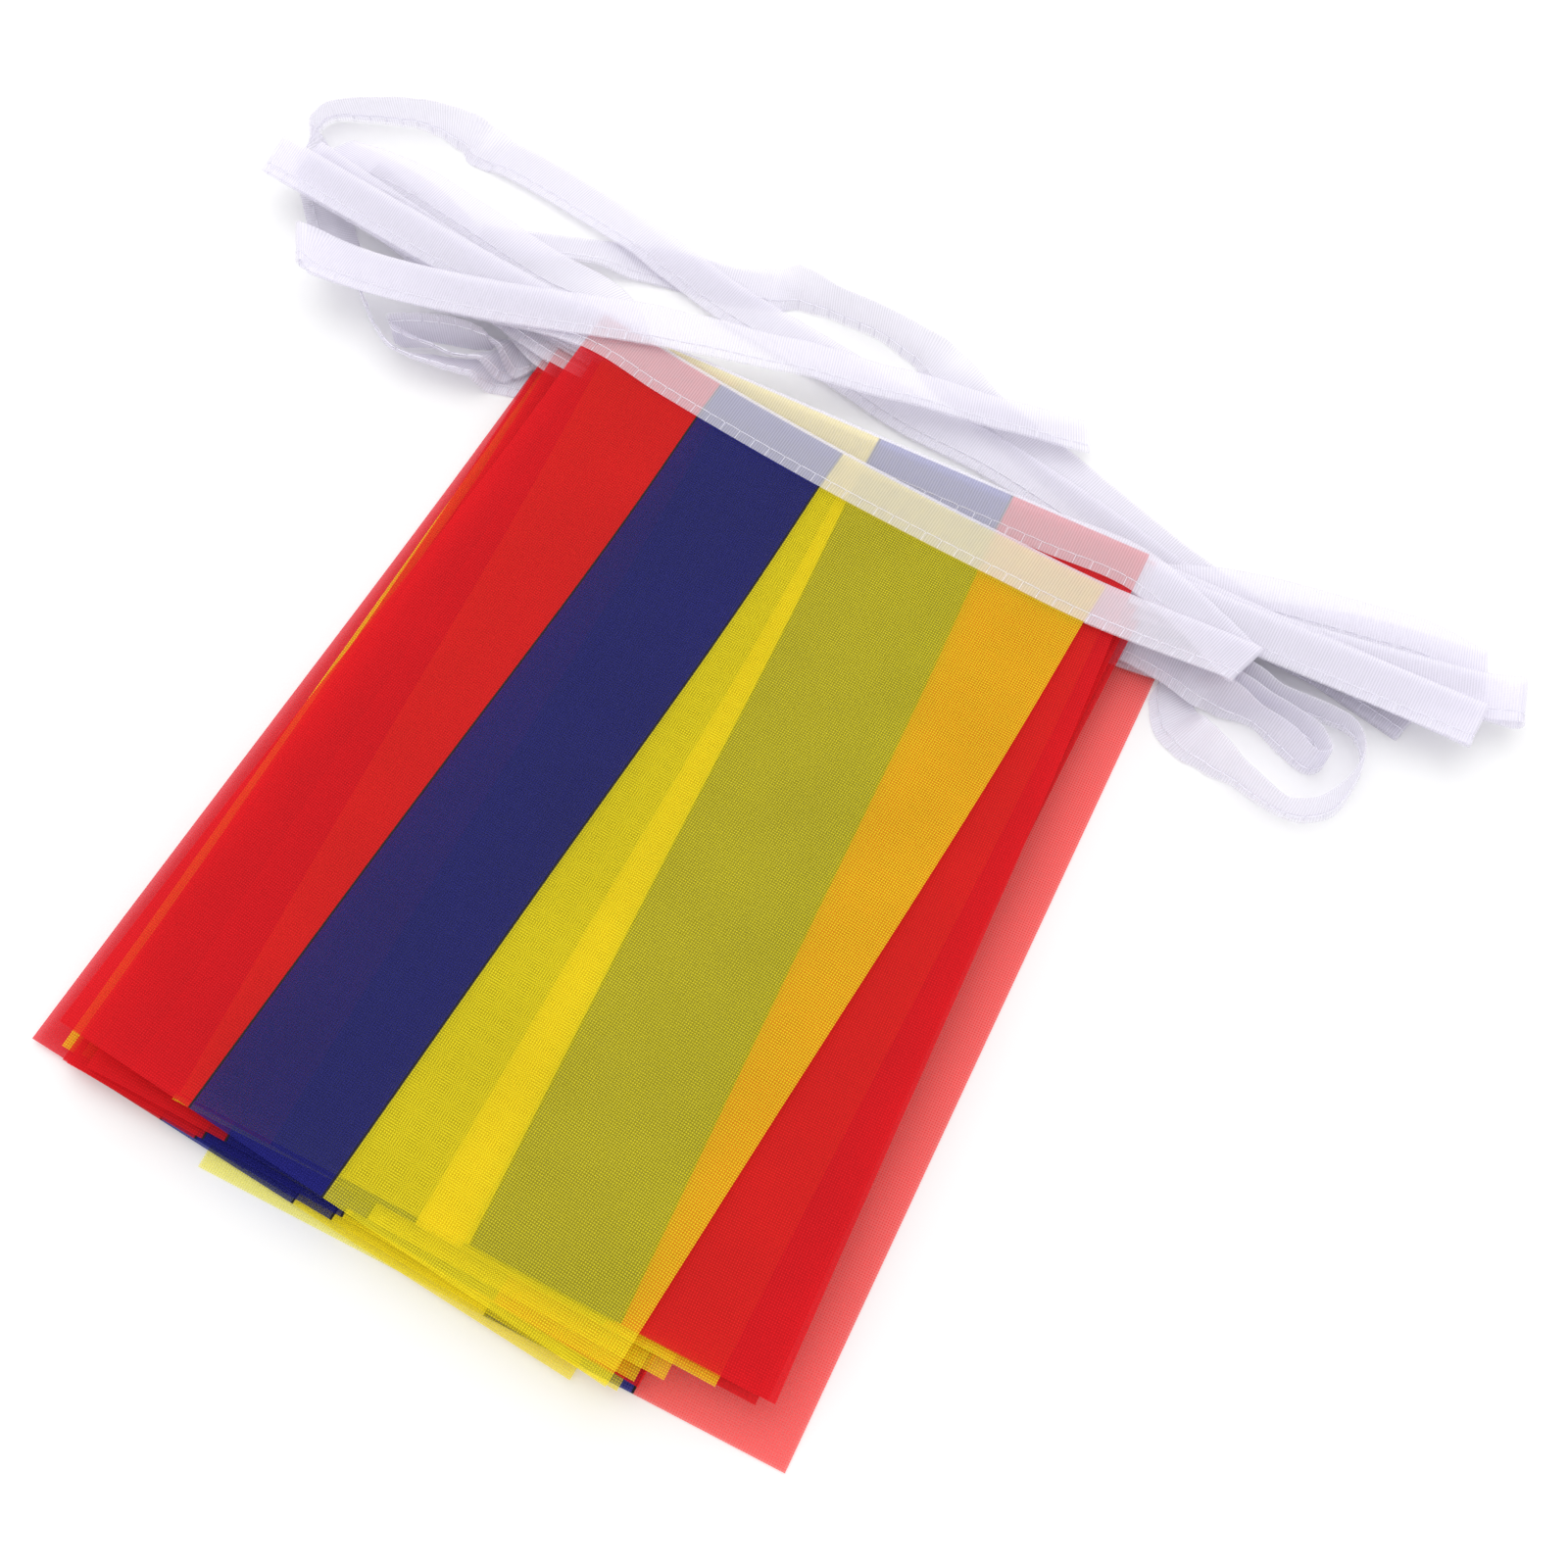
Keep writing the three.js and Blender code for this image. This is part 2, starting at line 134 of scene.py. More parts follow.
def flag_point(flag, index, across, down):
    """The place of a point of the flag, across from its middle and down from the tape's edge."""
    share = (len(FLAGS) - 1 - index) / (len(FLAGS) - 1)
    reach = min(max(down / FLAG_LENGTH, 0), 1)
    bowed = flag["bow"] * math.sin(math.pi * reach ** 0.6) ** 2
    aside = across + flag["swing"] * reach + bowed
    below = down + flag["sag"] * (1 - reach) * math.cos(math.pi * across / FLAG_WIDTH)
    turn = math.radians(flag["turn"])
    x = flag["x"] + aside * math.cos(turn) + below * math.sin(turn)
    y = flag["y"] + HEADING_LINE + aside * math.sin(turn) - below * math.cos(turn)
    free = min(max(down / WAVES_FROM, 0), 1)
    z = layer_height(len(FLAGS) - index) + share * stack_swell(x, y)
    return Vector((x, y, z + free * share * flag_ripple(x, y, index)))


def cloth_mesh(name, points, faces, on_cloth):
    """A mesh whose points know their place on the flat cloth, in millimetres."""
    mesh = bpy.data.meshes.new(name)
    mesh.from_pydata(points, [], faces)
    place = mesh.attributes.new("on_cloth", "FLOAT_VECTOR", "POINT")
    place.data.foreach_set("vector", np.array(on_cloth, np.float32).ravel())
    mesh.polygons.foreach_set("use_smooth", [True] * len(mesh.polygons))
    piece = bpy.data.objects.new(name, mesh)
    bpy.context.scene.collection.objects.link(piece)
    return piece


def grid_faces(rows, columns):
    return [
        (r * columns + c, r * columns + c + 1, (r + 1) * columns + c + 1, (r + 1) * columns + c)
        for r in range(rows - 1)
        for c in range(columns - 1)
    ]


def flag_piece(flag, index):
    """A flag's single layer of cloth, with the margin that is hidden in the tape."""
    columns = FLAG_WIDTH // CELL + 1
    downs = [-MARGIN, -MARGIN / 2, *np.linspace(0, FLAG_LENGTH, FLAG_LENGTH // CELL + 1)]
    face_down = index % 2 == 1
    points, on_cloth = [], []
    for down in downs:
        for across in np.linspace(-FLAG_WIDTH / 2, FLAG_WIDTH / 2, columns):
            points.append(flag_point(flag, index, across, down) * MM)
            from_red = across + FLAG_WIDTH / 2
            on_cloth.append((FLAG_WIDTH - from_red if face_down else from_red, down, 0))
    faces = grid_faces(len(downs), columns)
    return cloth_mesh(f"flag_cloth_{index + 1:02d}", points, faces, on_cloth)


YARN_SHINE = 0.25
YARN_RELIEF = 0.00012
RELIEF_STRENGTH = 0.35


class Finish:
    """A material and short ways to add its nodes."""

    def __init__(self, name):
        self.material = bpy.data.materials.new(name)
        self.material.use_nodes = True
        self.tree = self.material.node_tree
        self.tree.nodes.clear()

    def node(self, kind, **values):
        made = self.tree.nodes.new(kind)
        for key, value in values.items():
            setattr(made, key, value)
        return made

    def plug(self, socket, value):
        if hasattr(value, "links"):
            self.tree.links.new(value, socket)
        else:
            socket.default_value = value

    def math(self, operation, *values):
        made = self.node("ShaderNodeMath", operation=operation)
        for socket, value in zip(made.inputs, values):
            self.plug(socket, value)
        return made.outputs[0]

    def mix(self, share, low, high):
        """A colour between two."""
        made = self.node("ShaderNodeMix", data_type="RGBA")
        for name, value in (("Factor", share), ("A", low), ("B", high)):
            sockets = [s for s in made.inputs if s.name == name and s.enabled]
            self.plug(sockets[0], value)
        return next(s for s in made.outputs if s.enabled)

    def place(self):
        """Where a point lies on the flat cloth: across and along, in millimetres."""
        made = self.node("ShaderNodeSeparateXYZ")
        source = self.node("ShaderNodeAttribute", attribute_name="on_cloth")
        self.tree.links.new(source.outputs["Vector"], made.inputs[0])
        return made.outputs[0], made.outputs[1]

    def step(self, value, start, width):
        """0 below start and 1 above it, changing over width."""
        made = self.node("ShaderNodeMapRange", clamp=True)
        self.plug(made.inputs["Value"], value)
        self.plug(made.inputs["From Min"], start - width / 2)
        self.plug(made.inputs["From Max"], start + width / 2)
        return made.outputs[0]

    def wave(self, value, pitch):
        """From 0 to 1 and back over each pitch."""
        turned = self.math("SINE", self.math("MULTIPLY", value, 2 * math.pi / pitch))
        return self.math("MULTIPLY_ADD", turned, 0.5, 0.5)

    def painted_patches(self, scale):
        """Soft uneven patches over the flat cloth, used as painted light and shade."""
        made = self.node("ShaderNodeTexNoise")
        source = self.node("ShaderNodeAttribute", attribute_name="on_cloth")
        self.tree.links.new(source.outputs["Vector"], made.inputs["Vector"])
        self.plug(made.inputs["Scale"], scale)
        self.plug(made.inputs["Detail"], 2.0)
        return made.outputs[0]

    def sheer_cloth(self, colour, roughness, height, open_share, open_colour, lit_through=0.0):
        """Woven cloth that lets part of the light through, past its yarns and inside them."""
        yarn = self.node("ShaderNodeBsdfPrincipled")
        self.plug(yarn.inputs["Base Color"], colour)
        self.plug(yarn.inputs["Roughness"], roughness)
        yarn.inputs["Specular IOR Level"].default_value = YARN_SHINE
        bump = self.node("ShaderNodeBump")
        bump.inputs["Strength"].default_value = RELIEF_STRENGTH
        bump.inputs["Distance"].default_value = YARN_RELIEF
        self.plug(bump.inputs["Height"], height)
        self.tree.links.new(bump.outputs[0], yarn.inputs["Normal"])
        inside = self.node("ShaderNodeBsdfTranslucent")
        self.plug(inside.inputs["Color"], colour)
        yarns = self.node("ShaderNodeMixShader")
        self.plug(yarns.inputs[0], lit_through)
        self.tree.links.new(yarn.outputs[0], yarns.inputs[1])
        self.tree.links.new(inside.outputs[0], yarns.inputs[2])
        gaps = self.node("ShaderNodeBsdfTransparent")
        self.plug(gaps.inputs["Color"], open_colour)
        both = self.node("ShaderNodeMixShader")
        self.plug(both.inputs[0], open_share)
        self.tree.links.new(yarns.outputs[0], both.inputs[1])
        self.tree.links.new(gaps.outputs[0], both.inputs[2])
        output = self.node("ShaderNodeOutputMaterial")
        self.tree.links.new(both.outputs[0], output.inputs["Surface"])
        return self.material


# The stripes from the red edge: where each ends, the colour of its yarn, how much light passes
# between and through the yarns, and what colour that light takes.
STRIPES = (
    {"to": 35, "yarn": (0.62, 0.004, 0.01, 1), "open": 0.42, "glow": (1.0, 0.30, 0.34, 1)},
    {"to": 70, "yarn": (0.008, 0.008, 0.15, 1), "open": 0.40, "glow": (0.36, 0.4, 0.95, 1)},
    {"to": 140, "yarn": (0.94, 0.82, 0.02, 1), "open": 0.66, "glow": (1.0, 0.9, 0.42, 1)},
)
# The lowest flag lies on the white floor, which shines through it from all sides. Its copy of the
# stripes has brighter red and yellow yarn, more open cloth and paler glow: painted light from the
# floor.
FLOOR_LIT_PAINTED_STRIPES = (
    {"to": 35, "yarn": (0.90, 0.01, 0.02, 1), "open": 0.66, "glow": (1.0, 0.56, 0.54, 1)},
    {"to": 70, "yarn": (0.008, 0.008, 0.15, 1), "open": 0.40, "glow": (0.36, 0.4, 0.95, 1)},
    {"to": 140, "yarn": (0.98, 0.93, 0.05, 1), "open": 0.78, "glow": (1.0, 0.97, 0.62, 1)},
)
PRINT_BLUR = 0.3
SEAM_INK = (0.01, 0.008, 0.012, 1)
SEAM_WIDTH = 0.5
WEAVE = 0.58
WEAVE_OPENNESS = 0.3
WEAVE_TONE = 0.24
# Size and strength of the soft patches of painted light and shade on the flags.
SHADE_PATCH_SCALE = 0.035
SHADE_PATCH_TONE = 0.25
FLAG_ROUGHNESS = 0.75


def flag_finish(name, stripes):
    finish = Finish(name)
    across, along = finish.place()
    red, blue, yellow = stripes
    past_red = finish.step(across, red["to"], PRINT_BLUR)
    past_blue = finish.step(across, blue["to"], PRINT_BLUR)

    def by_stripe(key):
        return finish.mix(past_blue, finish.mix(past_red, red[key], blue[key]), yellow[key])

    # The weave is 0 to 1 and a quarter on average, which is taken off again.
    weave = finish.math("MULTIPLY", finish.wave(across, WEAVE), finish.wave(along, WEAVE))
    openness = finish.math("MULTIPLY_ADD", weave, -WEAVE_OPENNESS, WEAVE_OPENNESS / 4)
    open_share = finish.math("MULTIPLY_ADD", past_red, blue["open"] - red["open"], red["open"])
    open_share = finish.math(
        "MULTIPLY_ADD", past_blue, yellow["open"] - blue["open"], open_share
    )
    open_share = finish.math("ADD", open_share, openness)
    seam = finish.math(
        "MAXIMUM",
        finish.math("COMPARE", across, red["to"], SEAM_WIDTH / 2),
        finish.math("COMPARE", across, blue["to"] - SEAM_WIDTH / 2, SEAM_WIDTH / 2),
    )
    beside_seam = finish.math("SUBTRACT", 1.0, seam)
    open_share = finish.math("MULTIPLY", open_share, beside_seam)
    # Soft patches of painted light and shade stand in for the light on the cloth's slight waves.
    painted_shade = finish.painted_patches(SHADE_PATCH_SCALE)
    tone = finish.math(
        "MULTIPLY",
        finish.math("MULTIPLY_ADD", painted_shade, SHADE_PATCH_TONE, 1 - SHADE_PATCH_TONE / 2),
        finish.math("MULTIPLY_ADD", weave, WEAVE_TONE, 1 - WEAVE_TONE / 4),
    )
    shaded = finish.node("ShaderNodeVectorMath", operation="SCALE")
    finish.plug(shaded.inputs[0], finish.mix(seam, by_stripe("yarn"), SEAM_INK))
    finish.plug(shaded.inputs["Scale"], tone)
    return finish.sheer_cloth(
        shaded.outputs[0], FLAG_ROUGHNESS, weave, open_share, by_stripe("glow")
    )


flag_material = flag_finish("printed_polyester", STRIPES)
painted_lit_material = flag_finish("printed_polyester_painted_lit", FLOOR_LIT_PAINTED_STRIPES)
for index, flag in enumerate(FLAGS):
    piece = flag_piece(flag, index)
    # The lowest flag takes the copy of the finish with painted light from the floor below.
    lowest = index == len(FLAGS) - 1
    piece.data.materials.append(painted_lit_material if lowest else flag_material)
    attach(piece, "root")
    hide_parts(f"flag_{index + 1:02d}")

# Tape: a white ribbed polyester ribbon, folded lengthwise over the flags' upper edges. It runs on
# from flag to flag without a break, and turns back on itself between them in folds and loops.
TAPE_WIDTH = 11.5
TAPE_GAP = 0.3
TAPE_CELLS = 6
TAPE_TWIST = math.radians(8)
FOLD_STEPS = 4
STITCH = 4.3
STITCH_LINE = 2.6

# Places along the tape's middle line. level is the layer of its lower edge, counted from 1 on the
# surface; turn is its direction in plan; lean tips its far edge up, or down if negative. The first
# tail comes over the stack from its cut end, then goes under itself to the top flag.
FIRST_TAIL = (
    {"x": 30.5, "y": 50.5, "level": 2, "turn": 22, "lean": -18},
    {"x": 10, "y": 46.3, "level": 3.4, "turn": 15, "lean": -17},
    {"x": -17, "y": 40.3, "level": 6.2, "turn": 15, "lean": -15},
    {"x": -43, "y": 33.3, "level": 10, "turn": 16, "lean": -12},
    {"x": -64.6, "y": 26.9, "level": 12.9, "turn": 16, "lean": -5},
    {"x": -78, "y": 23.6, "level": 13.6, "turn": 14},
    {"x": -115, "y": 13.5, "level": 13, "turn": 11},
    {"x": -142, "y": 7.8, "level": 13, "turn": 5},
)
FIRST_LOBE = {"x": -166.8, "y": 7.2, "turn": -3, "skew": 34, "puff": 1.2}
UNDER_TAIL = (
    {"x": -150, "y": 7.5, "level": 12, "turn": 5},
    {"x": -128, "y": 11, "level": 12, "turn": 8},
)

# The last tail leaves the lowest flag to the left, stands up, bends round and runs to the right
# along the tapes, folds under the right bunch and comes back beneath itself.
LAST_TAIL_OUT = (
    {"x": -98, "y": 5.7, "level": 1},
    {"x": -109, "y": 3.7, "level": 1, "turn": 4},
    {"x": -114.8, "y": 1, "level": 1, "turn": 8, "lean": -36},
    {"x": -119, "y": -0.7, "level": 1, "turn": 12, "lean": -43},
    {"x": -125, "y": -2.1, "level": 1, "turn": 12, "lean": -48},
    {"x": -133.2, "y": -3.9, "level": 1, "turn": 6, "lean": -62},
    {"x": -139.4, "y": -2, "level": 1, "turn": -14, "lean": -80},
    {"x": -145.4, "y": 2.3, "level": 1, "turn": -32, "lean": -90},
    {"x": -150.5, "y": 6.6, "level": 1, "turn": -36, "lean": -90},
    {"x": -158, "y": 12.4, "level": 1, "turn": -38, "lean": -62},
    {"x": -165, "y": 18.2, "level": 1, "turn": -42, "lean": -18},
    {"x": -171, "y": 24, "level": 1, "turn": -46},
    {"x": -180, "y": 34, "level": 1, "turn": -60},
    {"x": -184, "y": 39, "level": 1, "turn": -76, "lean": 12},
    {"x": -187.5, "y": 43.8, "level": 1, "turn": -84, "lean": 80},
    {"x": -187.5, "y": 47.5, "level": 1, "turn": -92, "lean": 77},
    {"x": -187.2, "y": 50, "level": 1, "turn": -112, "lean": 75},
    {"x": -185.6, "y": 52.3, "level": 1, "turn": -139, "lean": 74},
    {"x": -176.8, "y": 56.7, "level": 1, "turn": -158, "lean": 83},
    {"x": -168.5, "y": 60, "level": 1, "turn": -166, "lean": 90},
    {"x": -166, "y": 60.8, "level": 1, "turn": 10, "lean": 90},
    {"x": -160, "y": 61.9, "level": 1, "turn": -6, "lean": 80},
    {"x": -151.5, "y": 62, "level": 1, "turn": -13, "lean": 62},
    {"x": -146.5, "y": 62, "level": 1, "turn": -11, "lean": 18},
    {"x": -139, "y": 62.2, "level": 1.1, "turn": -10, "lean": -6},
    {"x": -128, "y": 61, "level": 1.1, "turn": -9, "lean": -8},
    {"x": -116, "y": 58.9, "level": 1.2, "turn": -10, "lean": -9},
    {"x": -106, "y": 57, "level": 1.5, "turn": -10, "lean": -9},
    {"x": -95, "y": 54.4, "level": 2.4, "turn": -11, "lean": -9},
    {"x": -84, "y": 51.8, "level": 2.5, "turn": -11},
    {"x": -65, "y": 47.3, "level": 2.1, "turn": -9},
    {"x": -32, "y": 42.1, "level": 2, "turn": -12},
    {"x": -12, "y": 38, "level": 2, "turn": -8},
    {"x": 12, "y": 36, "level": 2, "turn": -7},
    {"x": 40, "y": 30.5, "level": 2, "turn": -14},
    {"x": 67, "y": 23.8, "level": 2, "turn": -12},
    {"x": 90, "y": 20, "level": 2, "turn": -6},
    {"x": 108, "y": 18.4, "level": 2, "turn": -6},
)
LAST_FOLD = {"x": 127.5, "y": 14.5, "turn": -16}
LAST_TAIL_BACK = (
    {"x": 105, "y": 19.5, "level": 1, "turn": -14},
    {"x": 67, "y": 28, "level": 1, "turn": -16},
    {"x": 31, "y": 39.6, "level": 1, "turn": -18},
    {"x": 5, "y": 48, "level": 1, "turn": -18},
    {"x": -8, "y": 52.6, "level": 1, "turn": -18, "lean": 20},
    {"x": -18, "y": 54.6, "level": 1, "turn": -17, "lean": 68},
    {"x": -29, "y": 56.4, "level": 1, "turn": -6, "lean": 78},
    {"x": -41, "y": 56.6, "level": 1, "turn": 4, "lean": 78},
    {"x": -50, "y": 57.2, "level": 1, "turn": 9, "lean": 60},
    {"x": -59, "y": 56.4, "level": 1, "turn": 12, "lean": 6},
    {"x": -68, "y": 53.4, "level": 1, "turn": 12},
    {"x": -80, "y": 51.6, "level": 1, "turn": 12},
    {"x": -93, "y": 48.8, "level": 1, "turn": 15, "lean": -5},
    {"x": -103.6, "y": 45.7, "level": 1, "turn": 17, "lean": -26},
    {"x": -110.7, "y": 43.5, "level": 1, "turn": 18, "lean": -26},
    {"x": -122.2, "y": 39.5, "level": 1, "turn": 18, "lean": -16},
    {"x": -134, "y": 36, "level": 1, "turn": 16},
)

# How the tape turns back below each flag but the last, to the right and to the left by turns. A
# fold is flat, with its crease skewed and its two runs puffed apart at the end, and the runs may
# swerve before and after it; a loop stands on its edge.
RETURNS = (
    {"fold": {"x": 87.7, "y": 4.4, "turn": -20}},
    {"fold": {"x": -188, "y": 29.3, "turn": 3}},
    {"fold": {"x": 140.5, "y": 15, "turn": -3}},
    {"fold": {"x": -181, "y": 33.6, "turn": -5}},
    {"fold": {"x": 148.6, "y": 26.4, "turn": 14, "puff": 1.4}},
    {
        "before": (
            {"x": -82, "y": 21.6, "level": 7, "turn": -58},
            {"x": -87.6, "y": 27.6, "level": 7, "turn": -50},
            {"x": -96, "y": 31, "level": 7, "turn": -28},
            {"x": -109, "y": 32, "level": 7, "turn": -12},
            {"x": -136, "y": 37, "level": 7, "turn": -13},
            {"x": -156, "y": 40.4, "level": 7, "turn": -11},
        ),
        "fold": {"x": -178, "y": 40.2, "turn": -2, "skew": -33},
        "after": (
            {"x": -150, "y": 37, "level": 6, "turn": -14},
            {"x": -125, "y": 26, "level": 6, "turn": -24},
        ),
    },
    {
        "before": (
            {"x": 52, "y": 12.5, "level": 6, "turn": 28},
            {"x": 66, "y": 20.5, "level": 6, "turn": 26},
            {"x": 82, "y": 25.8, "level": 6, "turn": 10},
            {"x": 111, "y": 30.6, "level": 6, "turn": 10},
            {"x": 123, "y": 32.2, "level": 6, "turn": 6},
        ),
        "fold": {"x": 138.5, "y": 31, "turn": 2, "skew": 14},
        "after": (
            {"x": 110, "y": 27.5, "level": 5, "turn": 12},
            {"x": 80, "y": 18.5, "level": 5, "turn": 18},
        ),
    },
    {
        "fold": {"x": -168, "y": 38, "turn": -14, "puff": 0.1},
        "after": ({"x": -109, "y": 19.4, "level": 4, "turn": -20},),
    },
    {
        "loop": (
            {"x": 71, "y": 2.6, "level": 4},
            {"x": 77.6, "y": 1, "level": 3.9, "turn": -6, "lean": 12},
            {"x": 85.4, "y": -1.2, "level": 1.6, "turn": -12, "lean": 62},
            {"x": 95, "y": -2.4, "level": 1, "turn": -20, "lean": 88},
            {"x": 103, "y": -4.8, "level": 1, "turn": -25, "lean": 78},
            {"x": 110, "y": -7.4, "level": 1, "turn": -16, "lean": 84},
            {"x": 112.8, "y": -5.2, "level": 1, "turn": 70, "lean": 88},
            {"x": 109.6, "y": -1.4, "level": 1, "turn": 140, "lean": 90},
            {"x": 108.6, "y": -0.7, "level": 1, "turn": -36, "lean": 90},
            {"x": 97, "y": 1.4, "level": 1, "turn": -10, "lean": 88},
            {"x": 87.5, "y": 1.6, "level": 1.2, "turn": -6, "lean": 64},
            {"x": 79.5, "y": 3.6, "level": 2.5, "turn": -2, "lean": 9},
            {"x": 71, "y": 5, "level": 3},
        ),
    },
    {
        "loop": (
            {"x": -105.6, "y": 8.7, "level": 2.88, "turn": 12},
            {"x": -111, "y": 9.2, "level": 2, "turn": 12, "lean": -50},
            {"x": -115.4, "y": 8, "level": 1, "turn": 4, "lean": -84},
            {"x": -119.4, "y": 7.2, "level": 1, "turn": 2, "lean": -92},
            {"x": -123.3, "y": 6.4, "level": 1, "turn": 12, "lean": -94},
            {"x": -129.3, "y": 4.6, "level": 1, "turn": 26, "lean": -92},
            {"x": -135.2, "y": 2, "level": 1, "turn": 50, "lean": -90},
            {"x": -137.4, "y": 0.4, "level": 1, "turn": 120, "lean": -90},
            {"x": -135.8, "y": -0.7, "level": 1, "turn": 10, "lean": -84},
            {"x": -126, "y": 1, "level": 1, "turn": 12, "lean": -64},
            {"x": -119.4, "y": 1.6, "level": 1, "turn": 12, "lean": -57},
            {"x": -113.6, "y": 4.2, "level": 1.7, "turn": 10, "lean": -48},
            {"x": -107.8, "y": 7.2, "level": 1.9, "turn": 12},
        ),
    },
    {
        "loop": (
            {"x": 70, "y": 4, "level": 2},
            {"x": 81.4, "y": 6.4, "level": 1.8, "turn": 0, "lean": 4},
            {"x": 89.6, "y": 5.2, "level": 1.1, "turn": 0, "lean": 66},
            {"x": 98, "y": 4.8, "level": 1, "turn": 2, "lean": 90},
            {"x": 108, "y": 5.4, "level": 1, "turn": 0, "lean": 94},
            {"x": 116, "y": 4.6, "level": 1, "turn": -46, "lean": 100},
            {"x": 120.2, "y": -0.8, "level": 1, "turn": -80, "lean": 100},
            {"x": 120.2, "y": -7, "level": 1, "turn": -96, "lean": 100},
            {"x": 118, "y": -14.4, "level": 1, "turn": -118, "lean": 106},
            {"x": 113.5, "y": -18.8, "level": 1, "turn": -150, "lean": 98},
            {"x": 108.4, "y": -20.4, "level": 1, "turn": -176, "lean": 90},
            {"x": 107, "y": -20.4, "level": 1, "turn": -8, "lean": 90},
            {"x": 97, "y": -17.6, "level": 1, "turn": -10, "lean": 82},
            {"x": 89, "y": -15, "level": 1, "turn": -14, "lean": 58},
            {"x": 83, "y": -12.6, "level": 1, "turn": -26, "lean": 30},
            {"x": 78, "y": -9, "level": 1, "turn": -36},
            {"x": 74, "y": -2.6, "level": 1, "turn": -32},
        ),
    },
)


def tape_place(row):
    """Where the tape's middle passes, the height of its lower edge, its direction and its lean."""
    foot = Vector((row["x"], row["y"] + HEADING_LINE, layer_height(row["level"])))
    return {
        "foot": foot,
        "turn": math.radians(row.get("turn", 0)),
        "lean": math.radians(row.get("lean", 0)),
    }


def fold_places(fold, side, level_out, level_back):
    """The tape runs out in one layer, turns over and comes back in another."""
    out, back_again = layer_height(level_out), layer_height(level_back)
    radius = abs(out - back_again) / 2
    sign = 1 if out > back_again else -1
    turn = math.radians(fold["turn"])
    outward = Vector((side * math.cos(turn), side * math.sin(turn), 0))
    base = Vector((fold["x"], fold["y"] + HEADING_LINE, (out + back_again) / 2))
    skew = math.radians(fold.get("skew", 0))
    puff = fold.get("puff", 0)
    fat = radius + puff
    before_puff = -5 * fat
    places = []

    def add(reach, rise, aside=skew):
        foot = base + outward * reach + Vector((0, 0, sign * rise))
        places.append({"foot": foot, "turn": turn + aside, "lean": 0})

    if puff:
        add(before_puff, radius, 0)
    for i in range(2 * FOLD_STEPS + 1):
        angle = math.pi / 2 * (1 - i / FOLD_STEPS)
        add(fat * (math.cos(angle) - 1), fat * math.sin(angle))
    if puff:
        add(before_puff, -radius, 0)
    return places


def heading_places(flag, index):
    """The tape's run over a flag, from left to right."""
    places = []
    for across in np.linspace(-FLAG_WIDTH / 2, FLAG_WIDTH / 2, TAPE_CELLS + 1):
        foot = flag_point(flag, index, across, -TAPE_GAP - TAPE_WIDTH / 2)
        foot.z = layer_height(len(FLAGS) - index)
        places.append({"foot": foot, "turn": math.radians(flag["turn"]), "lean": 0})
    return places


def tape_route():
    """Every place that the tape passes, from the cut end of one tail to that of the other."""
    top = len(FLAGS)
    route = [tape_place(row) for row in FIRST_TAIL]
    route += fold_places(FIRST_LOBE, -1, top + 1, top)
    route += [tape_place(row) for row in UNDER_TAIL]
    for index, flag in enumerate(FLAGS):
        side = 1 if index % 2 == 0 else -1
        route += heading_places(flag, index)[::side]
        turning = RETURNS[index] if index < len(RETURNS) else {}
        route += [tape_place(row) for row in turning.get("before", ())]
        if "fold" in turning:
            route += fold_places(turning["fold"], side, top - index, top - index - 1)
        for part in ("after", "loop"):
            route += [tape_place(row) for row in turning.get(part, ())]
    route += [tape_place(row) for row in LAST_TAIL_OUT]
    route += fold_places(LAST_FOLD, 1, 2, 1)
    route += [tape_place(row) for row in LAST_TAIL_BACK]
    return route


def curve_point(feet, i, share):
    """A point of the smooth curve through the feet, between foot i and the next."""
    p1, p2 = feet[i], feet[i + 1]
    p0 = feet[i - 1] if i > 0 else 2 * p1 - p2
    p3 = feet[i + 2] if i + 2 < len(feet) else 2 * p2 - p1
    d1 = max((p2 - p1).length ** 0.5, 1e-4)
    d0 = (p1 - p0).length ** 0.5 or d1
    d2 = (p3 - p2).length ** 0.5 or d1
    out = ((p1 - p0) / d0 - (p2 - p0) / (d0 + d1) + (p2 - p1) / d1) * d1
    into = ((p2 - p1) / d1 - (p3 - p1) / (d1 + d2) + (p3 - p2) / d2) * d1
    bend = 2 * (p1 - p2) + out + into
    lift = 3 * (p2 - p1) - 2 * out - into
    return p1 + share * (out + share * (lift + share * bend))


def tape_sections(route, step):
    """Middle points and upward directions of the tape's sections, with heights eased."""
    feet = [place["foot"] for place in route]
    sections = []
    for i, (start, end) in enumerate(zip(route, route[1:])):
        length = (end["foot"] - start["foot"]).length
        twist = abs(end["lean"] - start["lean"])
        steps = max(math.ceil(length / step), math.ceil(twist / TAPE_TWIST), 1)
        for k in range(steps + (i == len(route) - 2)):
            share = k / steps
            eased = share * share * (3 - 2 * share)
            lean = start["lean"] + eased * (end["lean"] - start["lean"])
            turn = start["turn"] + eased * (end["turn"] - start["turn"])
            height = start["foot"].z + eased * (end["foot"].z - start["foot"].z)
            point = curve_point(feet, i, share)
            point.z = height + TAPE_WIDTH / 2 * abs(math.sin(lean))
            rise = Vector((
                -math.sin(turn) * math.cos(lean),
                math.cos(turn) * math.cos(lean),
                math.sin(lean),
            ))
            sections.append((point, rise))
    return sections


sections = tape_sections(tape_route(), STITCH / 4)
middles = [point for point, rise in sections]
rises = [rise for point, rise in sections]
runs = [0.0]
for here, there in zip(middles, middles[1:]):
    runs.append(runs[-1] + (there - here).length)
tape_length = runs[-1]
outward_faces = []
for i in range(len(middles)):
    along = middles[min(i + 1, len(middles) - 1)] - middles[max(i - 1, 0)]
    outward_faces.append(along.cross(rises[i]).normalized())

